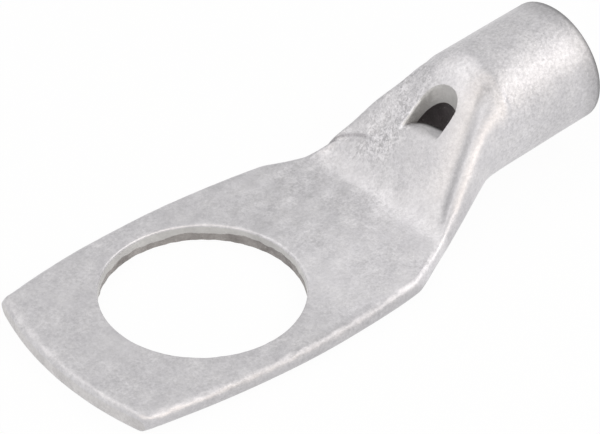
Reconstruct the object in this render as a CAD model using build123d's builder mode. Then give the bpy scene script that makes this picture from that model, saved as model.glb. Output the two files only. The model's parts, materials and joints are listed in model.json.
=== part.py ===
"""Tubular ring lug: a copper tube with one end pressed flat into a palm and pierced for a bolt.

Millimetres. The origin is the centre of the bolt hole on the palm's underside, +X runs towards the
barrel's mouth and +Z is up, away from the surface that the palm is bolted to.
"""

import os
from math import asin, cos, degrees, pi, radians, sin, sqrt, tan

from build123d import *

# Tube as drawn, before it is pressed
tube_diameter = 11.3
tube_wall = 1.2

# Palm, measured out from the bolt hole
hole_diameter = 17.0
palm_thickness = 1.6
eye_width = 2.8
front_width = 6.1
heel_width = 9.5
widest_x = 3.0
side_radius = 78.0
front_radius = 32.0

# Neck, where the palm ends and the pressed ramp begins
neck_spread = 0.35
palm_flare = 27.0
shoulder_radius = 3.0

# Ramp pressed into the top of the tube
foot_run = 1.05
ramp_angle = 48.9
foot_round = 0.45
head_round = 0.8
crease_inset = 0.9
crease_head_width = 6.0
ear_lift = 58.0
ear_run = 1.4
crease_run_out = 1.2

# Form of the pressed sides: how high they are widest and how full they are, as shares of their height,
# and the power by which they keep that form up the ramp before they turn into the round barrel
side_level = 0.55
side_fullness = 0.72
side_hold = 4

# Barrel
barrel_tilt = 5.8
flush_run = 4.6
flare_lead = 1.5
head_run = 1.5
barrel_length = 9.8

# Space inside the pressed tube, and the small step where the bore meets it
slit_height = 0.35
bore_step = 0.05

# Inspection window in the ramp, with a tongue bent in at its foot
window_width = 3.9
window_start = 3.25
window_length = 4.1
tongue_length = 1.6
tongue_angle = 14.0
tongue_radius = 0.5

# Rounded and broken edges
side_edge = 0.5
front_edge = 0.25
hole_edge = 0.2
mouth_edge = 0.25

# Where the sections are divided, and how many bands are drawn between them
lower_angle = 20.0
cavity_angle = 30.0
ramp_bands = 14
cavity_bands = 6

# Share of a quarter arc's radius at which its curve has its handles
quarter_handle = 0.5523

# Palm and neck, from the sizes above
tube_radius = tube_diameter / 2
bore_radius = tube_radius - tube_wall
palm_width = hole_diameter + 2 * eye_width
front_reach = hole_diameter / 2 + front_width
neck_x = hole_diameter / 2 + heel_width
neck_width = pi / 2 * (tube_diameter - tube_wall) + tube_wall + neck_spread

# Slopes of the ramp and the barrel, and the tube's radius and wall as an upright cut shows them
slope = tan(radians(barrel_tilt))
rise = tube_radius / cos(radians(barrel_tilt))
ramp_slope = tan(radians(ramp_angle))
ramp_wall = tube_wall / cos(radians(ramp_angle))
barrel_direction = (cos(radians(barrel_tilt)), 0, sin(radians(barrel_tilt)))
upper_angle = degrees(asin(crease_head_width / 2 / tube_radius))
ear_handle = 4 / 3 * tan(radians(90 - upper_angle) / 4) * tube_radius

# Places along the lug, where the ramp's line meets the palm's top and the barrel's top
flush_x = neck_x + flush_run
ramp_foot_x = neck_x + foot_run
ramp_head_x = (2 * rise - flush_x * slope - palm_thickness + ramp_foot_x * ramp_slope) / (ramp_slope - slope)
flare_end_x = ramp_head_x - flare_lead
barrel_start_x = ramp_head_x + head_run
mouth_x = barrel_start_x + barrel_length
cavity_foot_x = ramp_foot_x + (tube_wall + ramp_wall + slit_height - palm_thickness) / ramp_slope


def soft_min(a: float, b: float, rounding: float) -> float:
    """The smaller of two heights, with the corner between them rounded off."""
    return (a + b - sqrt((a - b) ** 2 + rounding**2)) / 2


def axis_height(x: float) -> float:
    """Height of the barrel's axis: its underside is flush with the palm's at flush_x."""
    return rise + (x - flush_x) * slope


def ramp_share(x: float, run_out: float) -> float:
    """Share of the way from the neck to a run beyond the ramp's head, from 0 to 1."""
    return min(1.0, (x - neck_x) / (ramp_head_x + run_out - neck_x))


def tube_drop(y: float) -> float:
    """Fall of the round tube's surface from its top line, at a distance to one side."""
    return tube_radius - sqrt(tube_radius**2 - y**2)


def half_width(x: float) -> float:
    """Half the width in plan, from the neck in to the barrel."""
    narrowing = (neck_width / 2 - tube_radius) / (flare_end_x - neck_x)
    return max(tube_radius, neck_width / 2 - narrowing * (x - neck_x))


def top_height(x: float) -> float:
    """Height of the middle of the top: the flat palm, the ramp, then the barrel."""
    ramp = palm_thickness + (x - ramp_foot_x) * ramp_slope
    barrel = axis_height(x) + rise
    return soft_min(-soft_min(-palm_thickness, -ramp, foot_round), barrel, head_round)


def bottom_height(x: float) -> float:
    """Height of the underside: level under the palm and ramp, then the tilted barrel."""
    return max(0.0, axis_height(x) - rise)


def station_plane(x: float) -> Plane:
    """Upright plane across the lug, with its own axes along +Y and +Z."""
    return Plane(origin=(x, 0, 0), x_dir=(0, 1, 0), z_dir=(1, 0, 0))


def barrel_plane(x: float) -> Plane:
    """Plane square to the barrel, centred on its axis."""
    return Plane(origin=(x, 0, axis_height(x)), x_dir=(0, 1, 0), z_dir=barrel_direction)


def half_section(plane: Plane, crown: list, ear: list, flank: list, floor: list) -> Sketch:
    """Half of a section, on the +Y side of the middle, from four curves that follow each other.

    The curves are kept apart where they run on smoothly, so that all sections have the same edges.
    """
    with BuildLine(plane):
        curves = [Line(floor[-1], crown[0], mode=Mode.PRIVATE)]
        for handles in (crown, ear, flank, floor):
            curves.append(Bezier(*handles, mode=Mode.PRIVATE))
    return make_face(curves)


def bowed(y: float, z: float, bow: float) -> list:
    """Curve from the middle out to (y, z), level in the middle, where it is higher by the bow."""
    return [(0, z + bow), (y / 3, z + bow), (2 * y / 3, z + 2 * bow / 3), (y, z)]


def rounded(y: float, z: float, wide: float, high: float) -> list:
    """Quarter of an ellipse, from its top or bottom at (y, z) out to its side."""
    pull_y = y + wide * quarter_handle
    pull_z = z - high * (1 - quarter_handle)
    return [(y, z), (pull_y, z), (y + wide, pull_z), (y + wide, z - high)]


def neck_section() -> Sketch:
    """Half of the flat section at the neck, with rounded edges."""
    flat = neck_width / 2 - side_edge
    middle = palm_thickness / 2
    return half_section(
        station_plane(neck_x),
        bowed(flat, palm_thickness, 0),
        rounded(flat, palm_thickness, side_edge, middle),
        rounded(flat, 0, side_edge, -middle)[::-1],
        bowed(flat, 0, 0)[::-1],
    )


def ramp_section(x: float) -> Sketch:
    """Pressed section: a ramp between two creases, an ear beyond each crease and a rounded belly."""
    share = ramp_share(x, 0)
    turned = ramp_share(x, crease_run_out) ** side_hold
    top = top_height(x)
    bottom = bottom_height(x)
    reach = half_width(x)
    side = bottom + (top - bottom) * (side_level + (1 / 2 - side_level) * share)
    crown = share * tube_drop(crease_head_width / 2)
    crease_neck = neck_width / 2 - crease_inset
    crease_y = crease_neck + (crease_head_width / 2 - crease_neck) * share
    crease_z = top - crown
    lift = radians(ear_lift * min(1.0, (x - neck_x) / ear_run) * (1 - turned) - upper_angle * turned)
    handle = ear_handle * (reach - crease_y) / (tube_radius - crease_head_width / 2)
    round_fullness = ear_handle / (tube_radius * cos(radians(upper_angle)))
    fullness = side_fullness + (round_fullness - side_fullness) * turned
    ear = [
        (crease_y, crease_z),
        (crease_y + handle * cos(lift), crease_z + handle * sin(lift)),
        (reach, side + (crease_z - side) * fullness),
        (reach, side),
    ]
    belly_share = (barrel_start_x - x) / (barrel_start_x - neck_x)
    belly_head = tube_radius * sin(radians(lower_angle))
    belly = belly_head + (neck_width / 2 - side_edge - belly_head) * belly_share**2
    sag = tube_drop(belly_head) * (1 - belly_share) ** 2
    return half_section(
        station_plane(x),
        bowed(crease_y, crease_z, crown),
        ear,
        rounded(belly, bottom + sag, reach - belly, bottom + sag - side)[::-1],
        bowed(belly, bottom + sag, -sag)[::-1],
    )


def arc(start: float, end: float, radius: float) -> list:
    """Clockwise arc of a circle about the origin, between two angles above +Y."""
    handle = 4 / 3 * tan(radians((start - end) / 4)) * radius
    first = (radius * cos(radians(start)), radius * sin(radians(start)))
    last = (radius * cos(radians(end)), radius * sin(radians(end)))
    leave = (first[0] + handle * sin(radians(start)), first[1] - handle * cos(radians(start)))
    arrive = (last[0] - handle * sin(radians(end)), last[1] + handle * cos(radians(end)))
    return [first, leave, arrive, last]


def round_section(x: float, radius: float, upper: float, lower: float) -> Sketch:
    """Half of an upright section through the tilted barrel, divided as the pressed sections are."""
    arcs = [(90, 90 - upper), (90 - upper, 0), (0, lower - 90), (lower - 90, -90)]
    stretch = rise / tube_radius
    curves = []
    for start, end in arcs:
        curves.append([(y, axis_height(x) + z * stretch) for y, z in arc(start, end, radius)])
    return half_section(station_plane(x), *curves)


def cavity_section(x: float) -> Sketch:
    """Half of the space inside the pressed tube, a wall's thickness within it all round."""
    top = top_height(x) - ramp_wall
    bottom = bottom_height(x) + tube_wall
    middle = (top + bottom) / 2
    reach = half_width(x) - tube_wall
    closing = (barrel_start_x - x) / (barrel_start_x - cavity_foot_x)
    bore_flat = bore_radius * sin(radians(cavity_angle))
    flat = bore_flat + (reach - (top - bottom) / 2 - bore_flat) * closing
    return half_section(
        station_plane(x),
        bowed(flat, top, 0),
        rounded(flat, top, reach - flat, top - middle),
        rounded(flat, bottom, reach - flat, bottom - middle)[::-1],
        bowed(flat, bottom, 0)[::-1],
    )


def stations(first: float, last: float, bands: int) -> list:
    """Places along the lug, evenly spaced, with the first but not the last."""
    return [first + (last - first) * i / bands for i in range(bands)]


# Palm: bowed sides, a front sheared to a shallow arc, shoulders that flare in to the neck, and a
# bolt hole. The front and the hole are cut from above, so that only their top edges are broken
with BuildPart() as palm:
    with BuildSketch() as outline:
        with Locations((front_radius - front_reach, 0)):
            Circle(front_radius)
        for side in (1, -1):
            with Locations((widest_x, side * (palm_width / 2 - side_radius))):
                Circle(side_radius, mode=Mode.INTERSECT)
        flare_width = neck_width / 2 + (neck_x + front_reach) * tan(radians(palm_flare))
        with BuildLine():
            Polyline(
                (neck_x, neck_width / 2),
                (-front_reach, flare_width),
                (-front_reach, -flare_width),
                (neck_x, -neck_width / 2),
                close=True,
            )
        make_face(mode=Mode.INTERSECT)
        shoulders = outline.vertices().filter_by(lambda v: widest_x < v.X < neck_x - shoulder_radius / 2)
        fillet(shoulders, shoulder_radius)
    extrude(amount=palm_thickness)
    flats = palm.faces().filter_by(Axis.Z)
    fillet(flats.edges().filter_by(lambda edge: abs(edge.center().Y) > neck_width / 4), side_edge)
    front = palm.faces().sort_by(Axis.X)[0]
    fillet(front.edges().sort_by(Axis.Z)[-1], front_edge)
    Hole(hole_diameter / 2)
    rims = palm.edges(Select.LAST).filter_by(GeomType.CIRCLE)
    chamfer(rims.sort_by(Axis.Z)[-1], hole_edge)

# Ramp and barrel: half of the tube is drawn through its sections, and mirrored
tube_sections = [neck_section()]
for x in stations(neck_x, barrel_start_x, ramp_bands)[1:]:
    tube_sections.append(ramp_section(x))
for x in (barrel_start_x, mouth_x + tube_radius * slope):
    tube_sections.append(round_section(x, tube_radius, upper_angle, lower_angle))
with BuildPart() as tube:
    loft(sections=tube_sections, ruled=True)
    mirror(about=Plane.XZ)

# Space inside the pressed part of the tube
cavity_sections = [cavity_section(x) for x in stations(cavity_foot_x, barrel_start_x, cavity_bands)]
for x in (barrel_start_x, barrel_start_x + tube_diameter * slope):
    cavity_sections.append(round_section(x, bore_radius - bore_step, cavity_angle, cavity_angle))
with BuildPart() as cavity:
    loft(sections=cavity_sections, ruled=True)
    mirror(about=Plane.XZ)

# Inspection window, cut down through the ramp to a tongue bent in at its foot
window_foot_x = ramp_foot_x + window_start
window_head_x = window_foot_x + window_length
lip_x = window_foot_x + tongue_length
foot_z = top_height(window_foot_x)
lip_z = foot_z + tongue_length * tan(radians(tongue_angle))
inside_z = axis_height(lip_x) / 2
above_z = foot_z + tube_diameter
with BuildPart() as window:
    with BuildSketch(Plane.XZ) as window_side:
        with BuildLine():
            Polyline(
                (window_foot_x, foot_z),
                (lip_x, lip_z),
                (lip_x, inside_z),
                (window_head_x, inside_z),
                (window_head_x, above_z),
                (window_foot_x, above_z),
                close=True,
            )
        make_face()
        fillet(window_side.vertices().sort_by_distance((lip_x, lip_z))[0], tongue_radius)
    extrude(amount=window_width / 2, both=True)
    with BuildSketch():
        with Locations((window_head_x - window_length, 0)):
            SlotOverall(2 * window_length, window_width)
    extrude(amount=above_z, mode=Mode.INTERSECT)

with BuildPart() as cable_lug:
    add(palm.part)
    add(tube.part)

    # Mouth of the barrel, cut square to its axis
    with BuildSketch(barrel_plane(mouth_x)):
        Circle(tube_diameter)
    extrude(amount=tube_radius, mode=Mode.SUBTRACT)

    # Bore of the barrel, the space beyond it and the window into that space
    with BuildSketch(barrel_plane(mouth_x)):
        Circle(bore_radius)
    extrude(amount=-barrel_length / cos(radians(barrel_tilt)), mode=Mode.SUBTRACT)
    add(cavity.part, mode=Mode.SUBTRACT)
    add(window.part, mode=Mode.SUBTRACT)

    # Broken edges of the mouth
    mouth = cable_lug.faces().sort_by(Axis.X)[-1]
    chamfer(mouth.edges(), mouth_edge)

cable_lug.part.label = "cable_lug"
os.makedirs("parts", exist_ok=True)
export_step(cable_lug.part, "parts/cable_lug.step")
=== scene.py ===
import json
import logging
import math
from dataclasses import dataclass
from enum import Enum

import bmesh
import bpy
import numpy as np
from mathutils import Matrix, Vector


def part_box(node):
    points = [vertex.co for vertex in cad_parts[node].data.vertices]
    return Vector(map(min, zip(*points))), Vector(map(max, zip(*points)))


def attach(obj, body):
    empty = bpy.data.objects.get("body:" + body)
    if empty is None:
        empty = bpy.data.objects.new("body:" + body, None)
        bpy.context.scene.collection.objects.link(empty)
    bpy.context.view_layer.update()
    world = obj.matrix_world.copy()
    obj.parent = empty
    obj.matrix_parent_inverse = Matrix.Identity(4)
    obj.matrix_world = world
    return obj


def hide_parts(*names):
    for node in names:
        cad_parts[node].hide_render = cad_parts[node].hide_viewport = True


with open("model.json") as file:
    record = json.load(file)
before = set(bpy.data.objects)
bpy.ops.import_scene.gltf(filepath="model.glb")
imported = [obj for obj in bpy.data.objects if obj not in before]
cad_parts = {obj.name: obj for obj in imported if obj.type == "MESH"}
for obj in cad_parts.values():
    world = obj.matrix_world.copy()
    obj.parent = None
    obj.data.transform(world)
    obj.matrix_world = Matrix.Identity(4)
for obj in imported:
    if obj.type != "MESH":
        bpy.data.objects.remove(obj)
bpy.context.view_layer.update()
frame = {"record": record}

LOG = logging.getLogger("cable_lug")
MM = 0.001
NODE = "cable_lug"
FloatArray = np.ndarray
Span = tuple[float, float]
Range = tuple[float, float, float, float]
Point = tuple[float, float, float]


def smooth_step(values: FloatArray, start: float, end: float) -> FloatArray:
    """Rises from 0 at start to 1 at end with level ends: 3 s squared less 2 s cubed."""
    share = np.clip((values - start) / (end - start), 0.0, 1.0)
    return share * share * (3.0 - 2.0 * share)


def band(values: FloatArray, start: float, full: float, fading: float, end: float) -> FloatArray:
    """Rises smoothly from start to full, and falls smoothly from fading to end."""
    return smooth_step(values, start, full) * (1 - smooth_step(values, fading, end))


def bell(values: FloatArray, width: float) -> FloatArray:
    """Bell curve: the exponential of less the square of the value over the width."""
    return np.exp(-((values / width) ** 2))


def soft_min(first: FloatArray, second: FloatArray, rounding: float) -> FloatArray:
    """Smaller of two heights with a rounded corner: half of their sum less the root of their squared gap
    plus the squared rounding."""
    return (first + second - np.sqrt((first - second) ** 2 + rounding**2)) / 2.0


def soft_max(first: FloatArray, second: FloatArray, rounding: float) -> FloatArray:
    """Larger of two heights with a rounded corner, the mirror of soft_min."""
    return -soft_min(-first, -second, rounding)


def mix(first: FloatArray, second: FloatArray, share: FloatArray) -> FloatArray:
    """Straight mix of two values: the first at share 0, the second at share 1."""
    return first + (second - first) * share


@dataclass(frozen=True)
class Ripple:
    """Gentle unevenness, between about plus and minus its height: the mean of sine waves that run in random
    directions with random phases. The wavelength is that of a typical wave, in millimetres."""

    height: float
    wavelength: float
    waves: int
    seed: int

    def at(self, points: FloatArray) -> FloatArray:
        """Heights at places in millimetres, which have three numbers in the last axis."""
        draw = np.random.default_rng(self.seed)
        directions = draw.normal(size=(self.waves, 3))
        directions /= np.linalg.norm(directions, axis=1, keepdims=True)
        rates = 2.0 * math.pi / (self.wavelength * draw.uniform(0.6, 1.6, size=self.waves))
        phases = draw.uniform(0.0, 2.0 * math.pi, size=self.waves)
        waves = np.sin(points @ (directions * rates[:, None]).T + phases)
        return waves.mean(axis=-1) * math.sqrt(2.0 * self.waves) / 2.0 * self.height


def bezier(handles: FloatArray, count: int) -> FloatArray:
    """Points on cubic curves: the four handles weighed by the cubic Bernstein weights.

    Args:
        handles: Curves, each of four handles of two numbers, of shape (curves, 4, 2).
        count: Number of steps along each curve.

    Returns:
        Points of shape (curves, count + 1, 2).
    """
    t = np.linspace(0.0, 1.0, count + 1)
    weights = np.stack([(1 - t) ** 3, 3 * t * (1 - t) ** 2, 3 * t**2 * (1 - t), t**3], axis=1)
    return np.einsum("nk,ckd->cnd", weights, handles)


def curve_handles(*points: tuple[FloatArray, FloatArray]) -> FloatArray:
    """Stacks four handles, each an array of y and an array of z, into the shape (curves, 4, 2)."""
    return np.stack([np.stack(np.broadcast_arrays(y, z), axis=-1) for y, z in points], axis=1)


@dataclass(frozen=True)
class LugSizes:
    """Sizes of the lug in millimetres and degrees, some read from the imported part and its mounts."""

    hole_radius: float
    bore_radius: float
    tilt: float
    palm_width: float
    front_reach: float
    box: FloatArray
    tube_wall: float = 1.2
    palm_thickness: float = 1.6
    heel_width: float = 9.5
    widest_x: float = 3.0
    side_radius: float = 78.0
    front_radius: float = 32.0
    neck_width: float = 17.415
    palm_flare: float = 27.0
    foot_run: float = 1.05
    ramp_angle: float = 48.9
    flush_run: float = 4.6
    flare_lead: float = 1.5
    head_run: float = 1.5
    barrel_length: float = 9.8
    crease_inset: float = 0.9
    crease_head: float = 3.0
    slit_height: float = 0.35

    @classmethod
    def from_frame(cls, record: dict, box: tuple[Vector, Vector]) -> "LugSizes":
        """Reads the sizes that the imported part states.

        Args:
            record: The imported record, with its mounts.
            box: Lowest and highest corner of the part, in metres.

        Returns:
            The sizes.
        """
        mounts = {mount["name"]: mount for mount in record["mounts"]}
        axis = mounts["wire_barrel"]["axis"]
        low, high = box
        return cls(
            hole_radius=mounts["palm_hole"]["dims"]["r_mm"],
            bore_radius=mounts["wire_barrel"]["dims"]["r_mm"],
            tilt=math.degrees(math.atan2(axis[2], axis[0])),
            palm_width=(high.y - low.y) / MM,
            front_reach=-low.x / MM,
            box=np.array([low, high]) / MM,
        )

    @property
    def tube_radius(self) -> float:
        """Outside radius of the round barrel."""
        return self.bore_radius + self.tube_wall

    @property
    def neck_x(self) -> float:
        """Place along the lug where the palm ends."""
        return self.hole_radius + self.heel_width

    @property
    def foot_x(self) -> float:
        """Place where the ramp's line meets the palm's top."""
        return self.neck_x + self.foot_run

    @property
    def flush_x(self) -> float:
        """Place where the barrel's underside is level with the palm's."""
        return self.neck_x + self.flush_run

    @property
    def slope(self) -> float:
        """Rise of the barrel for each millimetre along the lug."""
        return math.tan(math.radians(self.tilt))

    @property
    def rise(self) -> float:
        """Half the barrel's height in an upright cut."""
        return self.tube_radius / math.cos(math.radians(self.tilt))

    @property
    def ramp_slope(self) -> float:
        """Rise of the ramp for each millimetre along the lug."""
        return math.tan(math.radians(self.ramp_angle))

    @property
    def head_x(self) -> float:
        """Place where the ramp's line meets the barrel's top."""
        lift = 2.0 * self.rise - self.flush_x * self.slope - self.palm_thickness + self.foot_x * self.ramp_slope
        return lift / (self.ramp_slope - self.slope)

    @property
    def flare_end_x(self) -> float:
        """Place where the pressed sides have narrowed to the barrel."""
        return self.head_x - self.flare_lead

    @property
    def barrel_x(self) -> float:
        """Place where the barrel is fully round."""
        return self.head_x + self.head_run

    @property
    def mouth_x(self) -> float:
        """Place of the mouth's centre."""
        return self.barrel_x + self.barrel_length

    @property
    def slit_x(self) -> float:
        """Place where the space inside the pressed tube closes."""
        ramp_wall = self.tube_wall / math.cos(math.radians(self.ramp_angle))
        room = self.tube_wall + ramp_wall + self.slit_height - self.palm_thickness
        return self.foot_x + room / self.ramp_slope

    @property
    def crease_angle(self) -> float:
        """Angle from the barrel's top down to where the creases run out, in radians."""
        return math.asin(self.crease_head / self.tube_radius)


@dataclass(frozen=True)
class PressedSide:
    """How the press left one side of the ramp: its sign along Y, the lift of the ear beyond the crease at the
    neck and further up in degrees, the run over which the one turns into the other, the run over which the ear
    rises, the share of the barrel's roundness that the crown has, the depth of the valley along the crease, how far
    in the valley lies, how full the ear is, and the depth of the fold along the palm's edge."""

    sign: float
    lift: float
    kept_lift: float
    fade: tuple[float, float]
    rise_run: float
    crown: float
    valley: float
    inset: float
    fullness: float
    fold: float


@dataclass
class Skin:
    """Surfaces as grids of points in millimetres, each a strip of rows, with the tube's rows closed round, and
    the number of the tube's rows that lie outside."""

    tube: FloatArray
    front: FloatArray
    slit: FloatArray
    outside_rows: int


@dataclass
class PressedTube:
    """The lug's one piece of metal: a tube carried from the sheared front of the palm to the barrel's mouth,
    back down its bore, and closed in the slit under the ramp. Lengths are in millimetres, angles in degrees."""

    BOX_MARGIN = 0.0002
    CROWN_STEPS = 22
    EAR_STEPS = 18
    ROLL_ROWS = 13
    PALM_ROWS = 108
    RAMP_ROWS = 112
    BARREL_ROWS = 30
    LIP_ROWS = 6
    BORE_ROWS = 22
    CAVITY_ROWS = 40
    FRONT_STEPS = 6
    SLIT_STEPS = 2
    BEND_ROUNDS = 6
    LOWER_ANGLE = math.radians(20.0)
    CAVITY_ANGLE = math.radians(30.0)
    QUARTER = 0.5523

    sizes: LugSizes
    far_side: PressedSide = PressedSide(
        sign=1.0, lift=58.0, kept_lift=2.0, fade=(1.6, 4.2), rise_run=1.4, crown=0.25, valley=0.0, inset=0.0,
        fullness=0.72, fold=0.0)
    near_side: PressedSide = PressedSide(
        sign=-1.0, lift=60.0, kept_lift=50.0, fade=(0.0, 2.0), rise_run=2.6, crown=1.0, valley=0.6, inset=0.5,
        fullness=0.6, fold=0.09)
    corner_round: float = 0.12
    neck_round: float = 0.05
    neck_blend: float = 4.0
    taper_round: float = 0.1
    foot_round: float = 1.6
    head_round: float = 1.2
    press_run: float = 3.0
    edge_inset: float = 0.74
    edge_fullness: float = 0.6
    edge_handle: float = 0.56
    edge_bevel: float = 7.0
    edge_fold: Range = (-6.0, -2.2, -1.6, -0.9)
    edge_fold_points: float = 2.0
    front_roll: float = 0.8
    front_skew: float = 0.045
    front_drop: float = 0.45
    front_burr: float = 0.1
    front_run: float = 6.0
    front_hold: float = 5.0
    front_waves: tuple[Ripple, ...] = (Ripple(0.3, 3.0, 9, 31), Ripple(0.2, 1.1, 9, 33))
    side_level: float = 0.55
    side_fullness: float = 0.72
    side_hold: int = 5
    fill_run: Span = (0.5, 4.0)
    crown_handles: Span = (0.42, 0.72)
    crown_drop: float = 0.1
    valley_start: Span = (1.0, 3.5)
    valley_end: float = 0.8
    crease_run_out: float = 1.2
    belly_run: float = 1.0
    belly_open: float = 2.5
    soft_points: float = 5.0
    soft_rounds: int = 6
    soft_start: float = 2.0
    soft_end: float = 1.2
    thin_share: float = 0.35
    mouth_round: float = 0.2
    mouth_square: float = 1.0
    shoulder_sink: Point = (0.0, -0.18, -0.24)
    shoulder_run: Range = (-4.65, -2.05, -0.65, 1.55)
    shoulder_side: Span = (2.2, 4.2)
    shoulder_height: Span = (0.8, 1.2)
    fold_depth: float = 0.2
    fold_width: float = 0.22
    fold_lip: float = 0.2
    fold_rise: Span = (-0.05, 0.4)
    fold_fade: float = 1.3
    fold_peak: Span = (3.36, 4.1)
    fold_bow: float = 0.115
    fold_side: Span = (3.4, 4.8)
    fold_height: Span = (-1.4, -0.7)
    fold_start: Span = (0.8, 1.8)
    waviness: tuple[Ripple, ...] = (Ripple(0.012, 7.0, 9, 3), Ripple(0.012, 7.0, 9, 5), Ripple(0.012, 7.0, 9, 8))
    edge_dents: Ripple = Ripple(0.045, 1.3, 12, 17)
    edge_dent_reach: float = 0.3
    edge_dent_height: Span = (0.75, 1.3)
    edge_dents_far: float = 0.2
    front_dents: Ripple = Ripple(0.045, 1.0, 12, 19)
    front_dent_run: Range = (0.02, 0.3, 0.5, 1.3)

    def axis_height(self, x: FloatArray) -> FloatArray:
        """Height of the barrel's axis above the palm's underside: a straight line of the barrel's slope."""
        return self.sizes.rise + (x - self.sizes.flush_x) * self.sizes.slope

    def half_width(self, x: FloatArray) -> FloatArray:
        """Half the width in plan: the lower of the palm's bowed side and its flare to the neck, then the
        straight taper from the neck, no narrower than the barrel."""
        sizes = self.sizes
        half_neck = sizes.neck_width / 2
        bow = np.sqrt(sizes.side_radius**2 - (x - sizes.widest_x) ** 2)
        side = sizes.palm_width / 2 - sizes.side_radius + bow
        flare = half_neck + (sizes.neck_x - x) * math.tan(math.radians(sizes.palm_flare))
        palm = soft_min(side, flare, self.corner_round)
        taper_rate = (half_neck - sizes.tube_radius) / (sizes.flare_end_x - sizes.neck_x)
        taper = half_neck - taper_rate * (x - sizes.neck_x)
        outline = np.where(x < sizes.neck_x - self.neck_blend, palm, soft_max(palm, taper, self.neck_round))
        return soft_max(outline, np.full_like(x, sizes.tube_radius), self.taper_round)

    def top_height(self, x: FloatArray) -> FloatArray:
        """Height of the middle of the top: the flat palm, the straight ramp and the barrel's top line, with
        rounded corners between them, and the top line alone where the barrel is round."""
        sizes = self.sizes
        ramp = sizes.palm_thickness + (x - sizes.foot_x) * sizes.ramp_slope
        palm = np.full_like(x, sizes.palm_thickness)
        barrel = self.axis_height(x) + sizes.rise
        pressed = soft_min(soft_max(palm, ramp, self.foot_round), barrel, self.head_round)
        return mix(pressed, barrel, smooth_step(x, sizes.head_x, sizes.barrel_x))

    def bottom_height(self, x: FloatArray) -> FloatArray:
        """Height of the middle of the underside: level, then the barrel's bottom line."""
        return np.maximum(0.0, self.axis_height(x) - self.sizes.rise)

    def tube_drop(self, y: float) -> float:
        """Fall of a round tube from its top line, at a distance to one side."""
        radius = self.sizes.tube_radius
        return radius - math.sqrt(radius**2 - y**2)

    def arc_handle(self, angle: float) -> float:
        """Handle of a cubic that follows the barrel from an angle off its top to its side: four thirds of the
        tangent of a quarter of the turn, times the radius."""
        return 4.0 / 3.0 * math.tan((math.pi / 2 - angle) / 4.0) * self.sizes.tube_radius

    def ramp_share(self, x: FloatArray, end: float) -> FloatArray:
        """Share of the way from the neck to an end further up, from 0 to 1."""
        return np.clip((x - self.sizes.neck_x) / (end - self.sizes.neck_x), 0.0, 1.0)

    def valley_share(self, x: FloatArray) -> FloatArray:
        """Share of the valley's full depth along the ramp: it starts above the neck and runs out on the barrel."""
        start = smooth_step(x - self.sizes.neck_x, *self.valley_start)
        return start * (1 - smooth_step(x - self.sizes.head_x, -self.valley_end, self.crease_run_out))

    def crease_reach(self, form: PressedSide, x: FloatArray) -> FloatArray:
        """Distance of the ramp's crease from the middle: straight from the neck to the barrel, less the inset."""
        sizes = self.sizes
        start = sizes.neck_width / 2 - sizes.crease_inset
        return mix(start, sizes.crease_head, self.ramp_share(x, sizes.head_x)) - form.inset * self.valley_share(x)

    def outer_half(self, form: PressedSide, x: FloatArray, reach: FloatArray, top: FloatArray,
                   bottom: FloatArray) -> FloatArray:
        """Half sections of the outside, each of four cubic curves: the crown out to the crease, the ear from
        the crease out to the widest point, the flank back in, and the floor to the middle.

        Args:
            form: How the press left this side.
            x: Places along the lug.
            reach: Half widths there.
            top: Heights of the middle of the top.
            bottom: Heights of the middle of the underside.

        Returns:
            Points of shape (places, points, 2), each a distance to one side and a height.
        """
        sizes = self.sizes
        radius = sizes.tube_radius
        run = x - sizes.neck_x
        share = self.ramp_share(x, sizes.head_x)
        turned = self.ramp_share(x, sizes.head_x + self.crease_run_out) ** self.side_hold
        pressed = smooth_step(run, -self.press_run, 0.0)
        side = bottom + (top - bottom) * mix(0.5, mix(self.side_level, 0.5, share), pressed)

        crown = share * self.tube_drop(sizes.crease_head) * mix(form.crown, 1.0, turned)
        crown = crown + form.valley * self.valley_share(x)
        inset = mix(self.edge_inset, sizes.crease_inset, pressed)
        crease = np.where(run < 0.0, reach - inset, self.crease_reach(form, x))
        crease_z = top - crown

        arc = self.arc_handle(sizes.crease_angle)
        handle = mix(self.edge_handle, arc / (radius - sizes.crease_head), pressed) * (reach - crease)
        risen = np.clip(run / form.rise_run, 0.0, 1.0)
        lift = np.radians(mix(form.lift, form.kept_lift, smooth_step(run, *form.fade))) * risen
        lift = mix(lift - math.radians(self.edge_bevel) * (1 - pressed), -sizes.crease_angle, turned)
        filled = mix(self.side_fullness, form.fullness, smooth_step(run, *self.fill_run))
        round_fullness = arc / (radius * math.cos(sizes.crease_angle))
        fullness = mix(mix(self.edge_fullness, filled, pressed), round_fullness, turned)

        low_end = sizes.flare_end_x + self.belly_run
        low_share = np.clip((low_end - x) / (low_end - sizes.neck_x), 0.0, 1.0)
        belly_head = radius * math.sin(self.LOWER_ANGLE)
        belly = belly_head + (sizes.neck_width / 2 - self.edge_inset - belly_head) * low_share**2
        belly = np.where(run < 0.0, reach - self.edge_inset, belly)
        rounded = (1 - low_share) ** 2
        sag = self.tube_drop(belly_head) * rounded
        tilt = self.LOWER_ANGLE * rounded
        low_arc = self.arc_handle(self.LOWER_ANGLE)
        opened = smooth_step(run, 0.0, self.belly_open)
        down_share = mix(mix(self.edge_fullness, self.QUARTER, opened),
                         low_arc / (radius * math.cos(self.LOWER_ANGLE)), rounded)
        in_share = mix(mix(self.edge_handle, self.QUARTER, opened), low_arc / (radius - belly_head), rounded)
        down = (side - bottom - sag) * down_share
        pull = (reach - belly) * in_share

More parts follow.
